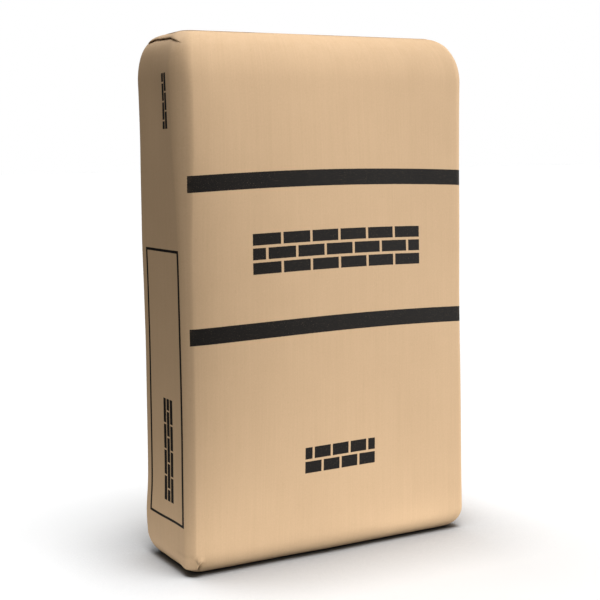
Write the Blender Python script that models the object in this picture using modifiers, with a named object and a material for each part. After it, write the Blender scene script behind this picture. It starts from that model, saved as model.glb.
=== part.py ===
"""A filled cement sack of kraft paper, standing on its end.

The sack is a pasted valve sack: a paper tube whose two ends are folded flat into oblong end
panels and closed by pasted cover patches. A flat paper sleeve in one top edge is the valve
that it was filled through. Units are metres, +Z is up, and the origin is the middle of the
underside. The broad faces look along Y and the narrow sides along X.
"""

import math

import bmesh
import bpy
from mathutils import Vector

# Overall size of the filled sack, cover patches included
WIDTH = 0.343
DEPTH = 0.113
HEIGHT = 0.550

# The four upright edges are soft folds, and the two ends are rounded off all the way round.
# Each end is a quarter ellipse that reaches this far in along X, Y and Z
FOLD_RADIUS = 0.0103
END_FOLD_RADIUS = 0.0099  # the same folds where they run into an end panel
TOP_REACH = (0.026, 0.031, 0.0487)
BOTTOM_REACH = (0.018, 0.0265, 0.0255)

# How the filling shapes the sack
WAIST = 0.018  # share of the width lost at mid height
WAIST_LIFT = 0.2  # how much more of it lies above mid height than below
BACK_CROWN = 0.0085  # how far the middle of the back stands out
BACK_FLATNESS = 4  # power of its profile across: flat in the middle, with round shoulders
FRONT_CROWN = 0.0100  # how much the front stands out, level on the right, rolling off left
ROLL_START = 0.1  # where on the front the roll to the left starts, from -1 to 1
ROLL_POWER = 2.3
CROWN_TAPER = 1.4  # power of both crowns' fading towards the ends

# Paper, thicker than the real plies so that each wall is a sound solid
WALL = 0.0006
PATCH = 0.0004
GAP = 0.0003  # glue line between pieces that touch

# Valve sleeve: a flattened paper tube that opens in the left side just under the top
SLEEVE_WIDTH = 0.076
SLEEVE_HEIGHT = 0.0018
SLEEVE_WALL = 0.0004
SLEEVE_ARCH = 0.0045  # how far its two edges lie below its middle
SLEEVE_INNER_X = -0.060
SLEEVE_RISE = 0.035  # length over which it climbs from the mouth to the top panel
MOUTH_Z = 0.542
MOUTH_OUTER_X = -0.159

# Air above the cement, where the sleeve lies
HEAD_SPACE = 0.0085

# The sack starts as a cube of half size 1. Along X and Y its outer cells bend round the
# upright folds, and along Z its outer cells bend over the ends.
STRAIGHT = 0.8  # share of the cube that stays straight
SPANS = (8, 4, 8)  # cells along the straight stretch in X, Y and Z
BENDS = (2, 2, 5)  # cells along each bent stretch
SLEEVE_SIDES = 12
SLEEVE_CELLS = 10
CUTTER_CELLS = 8

HALF = Vector((WIDTH / 2, DEPTH / 2, HEIGHT / 2))
SACK_INSET = Vector((0, 0, PATCH + GAP))
FILL_INSET = SACK_INSET + Vector((1, 1, 1)) * (WALL + GAP)


def clear_scene():
    for thing in list(bpy.data.objects):
        bpy.data.objects.remove(thing, do_unlink=True)


def new_collection(name):
    group = bpy.data.collections.new(name)
    bpy.context.scene.collection.children.link(group)
    return group


def matt_material(name, colour, roughness):
    """A matt dielectric of one colour."""
    material = bpy.data.materials.new(name)
    material.use_nodes = True
    shader = material.node_tree.nodes["Principled BSDF"]
    shader.inputs["Base Color"].default_value = (*colour, 1)
    shader.inputs["Roughness"].default_value = roughness
    shader.inputs["Metallic"].default_value = 0
    material.diffuse_color = (*colour, 1)
    return material


def cut_across(mesh, axis, places):
    """Cuts every face of the mesh by planes across one axis."""
    normal = Vector(float(axis == i) for i in range(3))
    for place in places:
        bmesh.ops.bisect_plane(
            mesh,
            geom=mesh.verts[:] + mesh.edges[:] + mesh.faces[:],
            plane_co=normal * place,
            plane_no=normal,
        )


def loop_cuts(spans, bends):
    """Where the cube is cut along one axis: evenly over its straight and its bent stretches."""
    cuts = [STRAIGHT * (2 * i / spans - 1) for i in range(spans + 1)]
    for step in range(1, bends):
        place = STRAIGHT + (1 - STRAIGHT) * step / bends
        cuts += [-place, place]
    return cuts


def bent_share(place):
    """How far into its bent stretch a place on the cube is, from 0 to 1."""
    return (abs(place) - STRAIGHT) / (1 - STRAIGHT)


def outline_point(u, v, half_x, half_y, radius):
    """A point of a rounded oblong. u and v lie on the rim of the square of half size 1: its
    straight stretches map to the oblong's sides, and its corners to the quarter circles."""
    straight_x, straight_y = half_x - radius, half_y - radius
    eighth = math.radians(45)
    if abs(v) >= abs(u):
        if abs(u) <= STRAIGHT:
            return u / STRAIGHT * straight_x, math.copysign(half_y, v)
        turn = eighth * bent_share(u)
    else:
        if abs(v) <= STRAIGHT:
            return math.copysign(half_x, u), v / STRAIGHT * straight_y
        turn = 2 * eighth - eighth * bent_share(v)
    x = straight_x + radius * math.sin(turn)
    y = straight_y + radius * math.cos(turn)
    return math.copysign(x, u), math.copysign(y, v)


def filled(point):
    """The point of a plain block, moved to where the filling puts it.

    The width narrows to a waist, and the depth swells to a crown on the broad faces. Both
    fade out towards the two ends. The front is level on its right and rolls off to the left.
    """
    across = max(-1.0, min(1.0, point.x / HALF.x))
    height = max(-1.0, min(1.0, (point.z - HALF.z) / HALF.z))
    from_ends = 1 - height**2
    waist = 1 - WAIST * from_ends * (1 + WAIST_LIFT * height)
    if point.y < 0:
        roll = max(0.0, (ROLL_START - across) / (1 + ROLL_START))
        swell = FRONT_CROWN * (1 - across - 2 * roll**ROLL_POWER)
    else:
        swell = BACK_CROWN * (1 - abs(across) ** BACK_FLATNESS)
    crown = 1 + swell / HALF.y * from_ends**CROWN_TAPER
    return Vector((point.x * waist, point.y * crown, point.z))


def sack_point(place, inset, top_inset):
    """The cube's point at this place, moved onto the sack. Each height is a rounded oblong:
    full size along the walls, and on the quarter ellipse of an end it shrinks to the outline
    of the flat end panel."""
    half = HALF - inset
    reach = TOP_REACH if place.z > 0 else BOTTOM_REACH
    rim = max(abs(place.x), abs(place.y))
    on_panel = min(1.0, rim) if abs(place.z) > 1 - 1e-6 else 1.0
    u, v = (place.x / rim, place.y / rim) if rim else (0.0, 1.0)
    turn = math.radians(90) * max(0.0, bent_share(place.z))
    wall = outline_point(u, v, half.x, half.y, FOLD_RADIUS - inset.x)
    panel_x, panel_y = HALF.x - reach[0], HALF.y - reach[1]
    panel = outline_point(u, v, panel_x, panel_y, END_FOLD_RADIUS)
    x, y = (p + (w - p) * math.cos(turn) for p, w in zip(panel, wall))
    end_rise = reach[2] - inset.z
    half_z = half.z - top_inset / 2
    straight_z = half_z - end_rise
    z = min(abs(place.z), STRAIGHT) / STRAIGHT * straight_z + end_rise * math.sin(turn)
    lift = HALF.z - top_inset / 2
    return filled(Vector((x * on_panel, y * on_panel, math.copysign(z, place.z) + lift)))


def sack_surface(inset, top_inset=0.0, keep=None):
    """The surface that lies this far inside the outline of the sack, as a bmesh. The top lies
    lower by top_inset. keep says which faces of the cube stay, by their centres."""
    mesh = bmesh.new()
    bmesh.ops.create_cube(mesh, size=2)
    for axis in range(3):
        cut_across(mesh, axis, loop_cuts(SPANS[axis], BENDS[axis]))
    if keep:
        others = [face for face in mesh.faces if not keep(face.calc_center_median())]
        bmesh.ops.delete(mesh, geom=others, context="FACES")
    for vert in mesh.verts:
        vert.co = sack_point(vert.co, inset, top_inset)
    mesh.normal_update()
    return mesh


def add_object(name, mesh, material, group):
    """The bmesh as a named object, shaded smooth."""
    data = bpy.data.meshes.new(name)
    mesh.to_mesh(data)
    mesh.free()
    data.shade_smooth()
    thing = bpy.data.objects.new(name, data)
    if material:
        data.materials.append(material)
    group.objects.link(thing)
    return thing


def add_wall(thing, thickness, offset):
    """Gives an open or closed surface its thickness: offset -1 is inwards, 1 outwards."""
    solidify = thing.modifiers.new("Wall", "SOLIDIFY")
    solidify.thickness = thickness
    solidify.offset = offset
    solidify.use_even_offset = True


def sleeve_height(x):
    """Height of the sleeve's middle: level at the mouth, then an S-shaped climb until it
    lies under the top panel."""
    under_panel = HEIGHT - PATCH - WALL - 3 * GAP - SLEEVE_HEIGHT / 2
    along = max(0.0, min(1.0, (x - MOUTH_OUTER_X) / SLEEVE_RISE))
    climb = along * along * (3 - 2 * along)
    return MOUTH_Z + (under_panel - MOUTH_Z) * climb


def arch(y):
    """How far the sleeve and its mouth lie lower at this distance from the middle."""
    return SLEEVE_ARCH * (2 * y / SLEEVE_WIDTH) ** 2


def add_valve_sleeve(material, group):
    """An open cylinder along X, flattened and laid along its climbing path."""
    mesh = bmesh.new()
    bmesh.ops.create_cone(
        mesh, cap_ends=False, segments=SLEEVE_SIDES, radius1=1, radius2=1, depth=2
    )
    cut_across(mesh, 2, [2 * i / SLEEVE_CELLS - 1 for i in range(1, SLEEVE_CELLS)])
    length = SLEEVE_INNER_X - MOUTH_OUTER_X
    for vert in mesh.verts:
        around, along = math.atan2(vert.co.y, vert.co.x), (vert.co.z + 1) / 2
        x = MOUTH_OUTER_X + length * along
        y = SLEEVE_WIDTH / 2 * math.cos(around)
        z = sleeve_height(x) - arch(y) + SLEEVE_HEIGHT / 2 * math.sin(around)
        vert.co = filled(Vector((x, y, z)))
    bmesh.ops.recalc_face_normals(mesh, faces=mesh.faces[:])
    sleeve = add_object("valve_sleeve", mesh, material, group)
    add_wall(sleeve, SLEEVE_WALL, -1)


def add_mouth_cutter(group):
    """An arched slot that goes level through the left wall, a gap wider than the sleeve."""
    mesh = bmesh.new()
    bmesh.ops.create_cube(mesh, size=2)
    cut_across(mesh, 1, [2 * i / CUTTER_CELLS - 1 for i in range(1, CUTTER_CELLS)])
    reach = Vector((0.015, SLEEVE_WIDTH / 2 + GAP, SLEEVE_HEIGHT / 2 + GAP))
    for vert in mesh.verts:
        x, y, z = (vert.co[axis] * reach[axis] for axis in range(3))
        vert.co = filled(Vector((x + MOUTH_OUTER_X, y, z + MOUTH_Z - arch(y))))
    cutter = add_object("mouth_cutter", mesh, None, group)
    cutter.hide_render = True
    cutter.display_type = "WIRE"
    return cutter


def add_paper_sack(material, group, cutter):
    """The whole paper skin, open only at the valve mouth."""
    sack = add_object("paper_sack", sack_surface(SACK_INSET), material, group)
    add_wall(sack, WALL, -1)
    mouth = sack.modifiers.new("Valve mouth", "BOOLEAN")
    mouth.operation = "DIFFERENCE"
    mouth.object = cutter


def add_cement_fill(material, group):
    """The cement fills the sack up to the head space."""
    add_object("cement_fill", sack_surface(FILL_INSET, HEAD_SPACE), material, group)


def add_cover_patch(name, end, material, group):
    """The cover sheet pasted over one end, 1 for the top and -1 for the bottom. It takes the
    flat end panel from the surface just outside the sack."""
    just_outside = Vector((-GAP, -GAP, PATCH))
    mesh = sack_surface(just_outside, keep=lambda centre: centre.z * end > 1 - 1e-6)
    add_wall(add_object(name, mesh, material, group), PATCH, 1)


def main():
    clear_scene()
    parts = new_collection("cement_bag")
    cutters = new_collection("cutters")
    kraft = matt_material("kraft_paper", (0.52, 0.36, 0.22), 0.8)
    patch_kraft = matt_material("patch_kraft_paper", (0.55, 0.39, 0.25), 0.8)
    sleeve_kraft = matt_material("sleeve_kraft_paper", (0.45, 0.31, 0.19), 0.85)
    cement = matt_material("cement_powder", (0.33, 0.33, 0.32), 0.95)
    add_paper_sack(kraft, parts, add_mouth_cutter(cutters))
    add_cement_fill(cement, parts)
    add_cover_patch("top_cover_patch", 1, patch_kraft, parts)
    add_cover_patch("bottom_cover_patch", -1, patch_kraft, parts)
    add_valve_sleeve(sleeve_kraft, parts)


main()
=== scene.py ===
"""A filled cement sack of kraft paper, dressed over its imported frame.

The paper skin, the two cover sheets, the valve sleeve and the cement are surfaces worked out
from the solids' measures, a few of which follow the photo more closely here. Units are metres,
+Z is up, the printed front faces -Y and the valve mouth is at -X.
"""

import math

import bmesh
import bpy
import numpy as np
from mathutils import Matrix, Vector


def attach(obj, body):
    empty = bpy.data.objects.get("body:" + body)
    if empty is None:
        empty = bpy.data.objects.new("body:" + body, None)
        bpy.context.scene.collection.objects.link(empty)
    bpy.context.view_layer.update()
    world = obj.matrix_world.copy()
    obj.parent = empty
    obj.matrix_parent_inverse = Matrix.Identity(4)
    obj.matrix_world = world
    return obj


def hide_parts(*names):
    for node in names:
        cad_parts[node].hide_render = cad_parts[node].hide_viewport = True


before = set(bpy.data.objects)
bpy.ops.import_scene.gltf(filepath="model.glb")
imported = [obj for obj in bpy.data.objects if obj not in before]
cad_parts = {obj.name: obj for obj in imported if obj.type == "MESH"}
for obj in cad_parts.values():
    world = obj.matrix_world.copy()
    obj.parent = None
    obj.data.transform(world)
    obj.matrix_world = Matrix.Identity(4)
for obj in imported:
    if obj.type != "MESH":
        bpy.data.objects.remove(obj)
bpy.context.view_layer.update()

# The solids' measures. The front's crown and the bottom's reach along Y are smaller here, and
# the shoulder is the scene's own: a rounder front at the left fold
WIDTH, DEPTH, HEIGHT = 0.343, 0.113, 0.550
FOLD_RADIUS, END_FOLD_RADIUS = 0.0103, 0.0099
TOP_REACH = (0.026, 0.031, 0.0487)
BOTTOM_REACH = (0.018, 0.0190, 0.0255)
WAIST, WAIST_LIFT = 0.018, 0.2
BACK_CROWN, CROWN_FLATNESS, CROWN_TAPER = 0.0085, 4, 1.4
FRONT_CROWN, ROLL_START, ROLL_POWER = 0.0085, 0.1, 2.3
SHOULDER, SHOULDER_REACH, SHOULDER_TAPER = 0.0062, 0.020, 0.6
COVER_ROOM = 0.0004  # what a cover sheet and its glue take up at each end
HEAD_SPACE = 0.0085
STRAIGHT = 0.8  # share of the unit block that stays straight along each axis
HALF_X, HALF_Y, HALF_Z = WIDTH / 2, DEPTH / 2, HEIGHT / 2
TINY = 1e-9

# Way round the outline, from the middle of the front towards +X. A quarter of it is half the
# front, one fold and half a narrow side, so the narrow sides' middles are a quarter off
FLAT_X, FLAT_Y = HALF_X - FOLD_RADIUS, HALF_Y - FOLD_RADIUS
QUARTER = FLAT_X + FLAT_Y + math.pi / 2 * FOLD_RADIUS
AROUND = 4 * QUARTER

# The upright folds as they are shown: tighter on the right, and rounder near the top
RIGHT_FOLDS = 0.62  # radius of the right ones, as a share of the left ones'
TOP_ROUNDER, RIGHT_ROUNDER = 0.0085, 0.35  # growth of the left ones, and the right ones' share
ROUNDER_START = 0.1  # place w where the growth starts

# Thickness of the paper that is shown
SKIN_WALL, COVER_WALL, SLEEVE_WALL = 0.0005, 0.0003, 0.00022

# Folded ends of the narrow sides. Each fold line crosses its side at one row of the grid
TOP_ROW, BOTTOM_ROW = 0.925, -0.885
TOP_SCALE, BOTTOM_SCALE = 0.27, 0.175  # metres of surface for each unit of w round the ends
MOUTH_MIDDLE, MOUTH_HALF = 0.0020, 0.0535  # along the left side, positive towards the front

# The fold lines' places w: the top one over the share q of half the mouth, and the bottom one
# over the way from the side's middle
ARCH_PLACE, ARCH_SLANT, ARCH_CURVE, ARCH_FLAT, ARCH_END = 0.9330, 0.0035, 0.050, 0.42, 1.1
HOOK_CURVE, HOOK_START, HOOK_LENGTH = 0.22, 0.76, 0.24
DIP, DIP_WAYS = 0.017, (0.020, 0.050)
CURL, CURL_WAYS = 0.050, (0.0585, 0.0645)
WARP_WAYS = (0.062, 0.090)  # the rows' bend fades out along here, from the mouth's middle
TOP_WARP, BOTTOM_WARP = 0.062, 0.060  # how far up and down w the bend reaches

# Plies at the fold lines: heights, and the widths of the bells that they fade by
LIP, LIP_WIDTH, LIP_ENDS, RIGHT_LIP = 0.0011, 0.0085, (0.88, 1.0), 0.5
RECESS, RECESS_WIDTH = 0.0008, 0.0065
ROLL, ROLL_WIDTH, RECESS_ROLL = 0.0006, 0.0008, 1.4
EAR, EAR_PLACE = 0.0028, (-0.0030, 0.0038)
EAR_WAYS = ((0.018, 0.048), (0.0630, 0.0665))
EAR_STEP, EAR_STEP_WIDTH = 0.0014, 0.0040
PLY_BLEND = 0.0003

# Painted shade in the ear's creases, by the way along the side and up from the bottom
CREASE_TIP, CREASE_TIP_UP, CREASE_CURVE, CREASE_WIDTH = 0.0634, 0.0230, 1.4 / 0.018, 0.0010
CREASE_WAYS = ((0.0130, 0.0190), (0.0265, 0.0310))
LOWER_SHADE, LOWER_PLACE = 0.8, (0.0172, 0.0016)
LOWER_WAYS = ((0.034, 0.046), (0.0605, 0.0645))
UPPER_SHADE, UPPER_PLACE = 0.16, (0.0325, 0.0022)
UPPER_WAYS = ((0.016, 0.040), (0.056, 0.063))

# Unevenness of the paper: heights, and for the single forms their middle and width up the side
BROAD_WAVE, SMALL_WAVE, PUCKER = 0.0006, 0.00009, 0.00022
SMALL_DRAWN, PUCKER_DRAWN = 0.6, 0.12  # z is shortened so, which draws them out upwards
PUCKERS_TOP, PUCKERS_LOW = (0.520, 0.032), (0.020, 0.026)
FLARE, FLARE_PLACE = 0.0022, (0.046, 0.026)
FLARE_WAYS = ((-0.03, 0.03), (0.06, 0.12))
HOLLOW, HOLLOW_PLACE, HOLLOW_HALF = 0.0030, (0.485, 0.050), 0.055
BROW, BROW_PLACE = 0.0016, (0.905, 0.055)
BROW_WAYS = ((-0.05, 0.05), (0.064, 0.085))

# The long glued seam, by the way from the middle of the back
SEAM_STEP, SEAM_RISE, SEAM_FALL = 0.0004, (-0.0690, -0.0682), (-0.041, -0.030)
SEAM_CELL = 0.0022  # place u from the step to the column on each side of it

# Plies folded over the end panels
OVERLAP, OVERLAP_WAYS = 0.00030, ((-0.0055, -0.0035), (0.012, 0.016))
OVERLAP_ENDS = (0.118, 0.128)
CORNER_FLAP, CORNER_SLANT, CORNER_EDGE = 0.00035, 1.05, (0.128, 0.133)

# Cells of the grids between stops along an axis. Without stops of their own they have these
PLAIN_STOPS = (-1, -STRAIGHT, STRAIGHT, 1)
SKIN_U = ((12, 6, 42, 6, 8), (-1, -STRAIGHT, -0.66, 0.66, STRAIGHT, 1))
SKIN_ROWS = (
    (6, 8, 9, 7, 66, 6, 6, 10, 10, 7),
    (-1, -0.910, BOTTOM_ROW, -0.855, -STRAIGHT, STRAIGHT, 0.865, 0.897, TOP_ROW, 0.953, 1),
)
SKIN_V = (12, 40, 8)
COVER_U, COVER_V, COVER_RINGS = (5, 150, 5), (5, 34, 5), 7
CEMENT_U, CEMENT_V, CEMENT_ROWS = (3, 56, 3), (3, 18, 3), (10, 70, 14)

# The flap tucked in behind the mouth, and the shade painted on it and on the mouth's lower edge
TUCK_MARGIN, TUCK_ROWS = 2, 8
TUCK_STEP, TUCK_HEIGHT, TUCK_SINK = 0.0034, 0.0009, 0.00008  # from row to row: w, map and depth
TUCK_SHADE, LIP_SHADE = 0.9, 0.4

# Wear, the print's arch and the end panels' places in the paper's map
FOLD_WEAR, FOLD_WEAR_WIDTH = 0.3, 0.0045
TURN_WEAR, TURN_WEAR_PLACE = 0.7, (0.55, 0.25)
PANEL_WEAR = 0.15
PRINT_ARCH = 0.0042
PANEL_MAPS = (-0.25, 0.85)

# Cover sheets
COVER_RIM, COVER_UNEVEN, RING_RADIUS = 0.0090, 0.25, 0.14
FLAPS_THROUGH, FLAPS_HALF, FLAPS_FADE = 0.6, 0.03, 0.006

# Valve sleeve
SLEEVE_CELLS, SLEEVE_SIDES = 40, 96
SLEEVE_MARGIN = 0.0090  # how much sooner than the mouth it ends at each side
SLEEVE_THICK, SLEEVE_ROUND = 0.00052, 0.7
SLEEVE_PAST, SLEEVE_AIM, SLEEVE_UNDER = 0.0052, 0.0072, 0.0005
SLEEVE_INNER_X, SLEEVE_OUTER_X = -0.060, -0.118
SLEEVE_HALF, SLEEVE_OFF, SLEEVE_ARCH_HALF = 0.0375, -0.004, 0.038
SLEEVE_LOW, SLEEVE_ARCH = 0.0034, 0.0045
SLEEVE_LEAVES, SLEEVE_ARRIVES = 0.012, 0.016  # lengths of the Bezier's two handles
SLEEVE_FLARE, SLEEVE_FLARE_CELLS = 0.5, 2.0
SLEEVE_MAP = (0.15, 0.11)

# Cement
CEMENT_DEPTH, CEMENT_RELIEF, CEMENT_OFF = 0.0018, 0.9, 0.0004
HEAP, HEAP_MEAN = 0.0016, 0.5
HEAP_X, HEAP_X_FADE, HEAP_Y, HEAP_Y_FADE = 0.14, 0.03, 0.027, 0.012


def smooth(x, low, high):
    """S-curve from 0 at low to 1 at high: 3t^2 - 2t^3 of the clipped share t."""
    t = np.clip((x - low) / (high - low), 0, 1)
    return t * t * (3 - 2 * t)


def window(x, rise, fall):
    """1 between two ranges: an S-curve up over the first and one down over the second."""
    return smooth(x, *rise) * (1 - smooth(x, *fall))


def bell(x, middle, width):
    """Bell curve of height 1: e^(-((x - middle) / width)^2)."""
    return np.exp(-(((x - middle) / width) ** 2))


def hat(x, reach):
    """A cosine's hat: cos^2(pi x / (2 reach)), from 1 at 0 to 0 at reach."""
    return np.cos(math.pi / 2 * np.clip(x / reach, -1, 1)) ** 2


def waves(*axes, seed, count, low, high):
    """Smooth unevenness from about -1 to 1: a sum of count plane cosines over 1.6 sqrt(count),
    with seeded directions, phases and wavelengths from low to high metres."""
    draw = np.random.default_rng(seed)
    total = 0
    for _ in range(count):
        way = draw.normal(size=len(axes))
        way *= 2 * math.pi / draw.uniform(low, high) / np.linalg.norm(way)
        phase = draw.uniform(0, 2 * math.pi)
        total = total + np.cos(sum(k * axis for k, axis in zip(way, axes)) + phase)
    return total / math.sqrt(count) / 1.6


def joined(*parts):
    """All numbers of some arrays, end to end."""
    return np.concatenate([np.ravel(part) for part in parts])


# The shape of the filled sack
def bend_share(place):
    """How far into its bent stretch a place on the block is: 0 up to STRAIGHT, 1 at the end."""
    return np.clip((np.abs(place) - STRAIGHT) / (1 - STRAIGHT), 0, 1)


def side_place(way):
    """The block's place v of a way from a narrow side's middle: even over the flat stretch,
    then over the fold."""
    on_fold = np.clip((way - FLAT_Y) / (FOLD_RADIUS * math.pi / 4), 0, 1)
    return np.minimum(way / FLAT_Y, 1) * STRAIGHT + (1 - STRAIGHT) * on_fold


def oblong(u, v, half_x, half_y, radius):
    """Rounded oblong: the straight stretches of the unit square's rim go to its straight sides,
    and the bent ones to eighths of a circle of this radius."""
    across = np.abs(v) >= np.abs(u)
    eighth = math.pi / 4
    turn = np.where(across, eighth * bend_share(u), 2 * eighth - eighth * bend_share(v))
    flat_x = np.minimum(np.abs(u) / STRAIGHT, 1) * (half_x - radius)
    flat_y = np.minimum(np.abs(v) / STRAIGHT, 1) * (half_y - radius)
    x = np.where(across, flat_x, half_x - radius) + radius * np.sin(turn)
    y = np.where(across, half_y - radius, flat_y) + radius * np.cos(turn)
    return np.copysign(x, u), np.copysign(y, v)


def filled(x, y, z):
    """Where the filling puts a point of the plain block, at height h and place s across, both
    from -1 to 1. The width shrinks to a waist by 0.018 (1 - h^2)(1 + 0.2 h). The depth swells
    to a crown by c(s)(1 - h^2)^1.4. At the back c is 1 - s^4. At the front it is (1 - s) - 2
    q^2.3, where q grows from 0 at s = 0.1 to 1 at the left fold, so it is flat on the right and
    rolls away to the left. A shoulder (1 - s) / 2 (1 - e^(-d / 20 mm)) is added there, where d
    is the way from the left fold. It fades by (1 - h^2)^0.6."""
    s = np.clip(x / HALF_X, -1, 1)
    h = np.clip(z / HALF_Z - 1, -1, 1)
    ends = 1 - h**2
    waist = 1 - WAIST * ends * (1 + WAIST_LIFT * h)
    q = np.maximum((ROLL_START - s) / (1 + ROLL_START), 0)
    front = FRONT_CROWN * (1 - s - 2 * q**ROLL_POWER)
    back = BACK_CROWN * (1 - np.abs(s) ** CROWN_FLATNESS)
    shoulder = SHOULDER * (1 - s) / 2 * (1 - np.exp(-(1 + s) * HALF_X / SHOULDER_REACH))
    swell = np.where(y < 0, front, back) * ends**CROWN_TAPER
    crown = 1 + (swell + np.where(y < 0, shoulder, 0) * ends**SHOULDER_TAPER) / HALF_Y
    return np.stack([x * waist, y * crown, z + 0 * x], -1)


def block(u, v, w, depth=0.0, lower_top=0.0):
    """A point (u, v, w) of the unit block on the sack. At each height it is a rounded oblong,
    full size along the wall, shrinking on a quarter ellipse to the flat end panel. Its upright
    folds are tighter on the right and grow rounder towards the top. Inside the square's rim it
    runs evenly to the middle of the panel. depth is how far inside it lies."""
    rim = np.maximum(np.maximum(np.abs(u), np.abs(v)), TINY)
    on_panel = np.where(np.abs(w) > 1 - TINY, np.minimum(rim, 1), 1)
    u, v = u / rim, v / rim
    turn = math.pi / 2 * bend_share(w)
    reach = [np.where(w > 0, a, b) for a, b in zip(TOP_REACH, BOTTOM_REACH)]
    radius = FOLD_RADIUS * np.where(u > 0, RIGHT_FOLDS, 1) - depth
    rounder = TOP_ROUNDER * np.where(u > 0, RIGHT_ROUNDER, 1)
    radius = radius + rounder * smooth(w, ROUNDER_START, STRAIGHT)
    wall_x, wall_y = oblong(u, v, HALF_X - depth, HALF_Y - depth, radius)
    end_x, end_y = oblong(u, v, HALF_X - reach[0], HALF_Y - reach[1], END_FOLD_RADIUS)
    rise = reach[2] - COVER_ROOM - depth
    half_z = HALF_Z - COVER_ROOM - depth - lower_top / 2
    z = np.minimum(np.abs(w) / STRAIGHT, 1) * (half_z - rise) + rise * np.sin(turn)
    x = (end_x + (wall_x - end_x) * np.cos(turn)) * on_panel
    y = (end_y + (wall_y - end_y) * np.cos(turn)) * on_panel
    return filled(x, y, np.copysign(z, w) + HALF_Z - lower_top / 2)


def cuts(cells, stops=PLAIN_STOPS):
    """Places along an axis: cells[i] even cells between stops[i] and stops[i + 1]."""
    runs = [np.linspace(a, b, n, endpoint=False) for a, b, n in zip(stops, stops[1:], cells)]
    return np.append(np.concatenate(runs), stops[-1])


class Outline:
    """The columns of a wall: points round the square's rim, from the front left corner and
    anticlockwise seen from above, with their way round the outline."""

    def __init__(self, u_cuts, v_cuts):
        self.u_cuts, self.v_cuts = u_cuts, v_cuts
        nu, nv = len(u_cuts) - 1, len(v_cuts) - 1
        one_u, one_v = np.ones(nu), np.ones(nv)
        self.u = np.concatenate([u_cuts[:-1], one_v, u_cuts[:0:-1], -one_v])
        self.v = np.concatenate([-one_u, v_cuts[:-1], one_u, v_cuts[:0:-1]])
        side = np.repeat([0, 1, 2, 3], [nu, nv, nu, nv])
        across = side % 2 == 0
        place = np.where(across, self.u, self.v)
        flat = np.where(across, FLAT_X, FLAT_Y)
        way = np.minimum(np.abs(place) / STRAIGHT, 1) * flat
        way = np.copysign(way + FOLD_RADIUS * math.pi / 4 * bend_share(place), place)
        self.run = side * QUARTER + np.where(side < 2, way, -way)


def along_side(run, side):
    """Way from the middle of the left (-1) or right (1) narrow side, positive towards the
    front, on an outline that wraps round."""
    off = (run - side * QUARTER + AROUND / 2) % AROUND - AROUND / 2
    return -side * off


def off_middle(run):
    """Way from the middle of the nearer broad face."""
    return np.abs((run + AROUND / 4) % (AROUND / 2) - AROUND / 4)


def fold_line(way, end):
    """Place w of the fold line that crosses a narrow side. At the top it is an arch, flat in
    the middle, whose ends curl away from the end panel, with a further hook at the front end.
    At the bottom it is straight, dips before each corner and then curls up steeply round it."""
    if end > 0:
        q = np.clip((way - MOUTH_MIDDLE) / MOUTH_HALF, -ARCH_END, ARCH_END)
        arch = ARCH_CURVE * np.maximum(np.abs(q) - ARCH_FLAT, 0) ** 2
        hook = HOOK_CURVE * np.clip(q - HOOK_START, 0, HOOK_LENGTH) ** 2
        return ARCH_PLACE - ARCH_SLANT * q - arch - hook
    off = np.abs(way)
    return BOTTOM_ROW - DIP * smooth(off, *DIP_WAYS) + CURL * smooth(off, *CURL_WAYS)


def warp_rows(rows, run):
    """Rows of places w, one per column, bent on the narrow sides so that one row follows the
    top fold lines and one the bottom's. The bend fades out round the folds, and by a hat up
    and down."""
    w = rows[:, None] + 0 * run
    for side in (-1, 1):
        way = along_side(run, side)
        near = 1 - smooth(np.abs(way - MOUTH_MIDDLE), *WARP_WAYS)
        for end, row, reach in ((1, TOP_ROW, TOP_WARP), (-1, BOTTOM_ROW, BOTTOM_WARP)):
            w = w + hat(rows[:, None] - row, reach) * near * (fold_line(way, end) - row)
    return w


# Unevenness of the paper, as heights along the surface's normal
def soft_relief(run, w, z):
    """Soft unevenness of a wall: broad waves, small ones, and upright puckers near the folded
    ends. On the left side there are a flare low down, a hollow below the mouth and a brow at
    the mouth's back half."""
    turn = 2 * math.pi * run / AROUND
    ring = AROUND / 2 / math.pi
    around = (ring * np.cos(turn), ring * np.sin(turn))
    bend = np.cos(math.pi / 2 * bend_share(w))
    broad = BROAD_WAVE * waves(*around, z, seed=3, count=7, low=0.10, high=0.24)
    small = waves(*around, z * SMALL_DRAWN, seed=5, count=9, low=0.030, high=0.060)
    puckers = waves(*around, z * PUCKER_DRAWN, seed=8, count=9, low=0.016, high=0.034)
    puckers = PUCKER * puckers * (bell(z, *PUCKERS_TOP) + bell(z, *PUCKERS_LOW))
    way = along_side(run, -1)
    flare = FLARE * bell(z, *FLARE_PLACE) * window(-way, *FLARE_WAYS)
    hollow = -HOLLOW * bell(z, *HOLLOW_PLACE) * hat(way, HOLLOW_HALF)
    brow = BROW * bell(w, *BROW_PLACE) * window(-way, *BROW_WAYS)
    soft = (broad + SMALL_WAVE * small) * bend**0.5
    return soft + flare + hollow + brow + puckers * bend**0.25


def seam_relief(run):
    """The long glued seam of the tube on the back: the upper ply starts with a sharp step, and
    the end of the ply under it shows as a soft one."""
    return SEAM_STEP * window(run - AROUND / 2, SEAM_RISE, SEAM_FALL)


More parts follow.
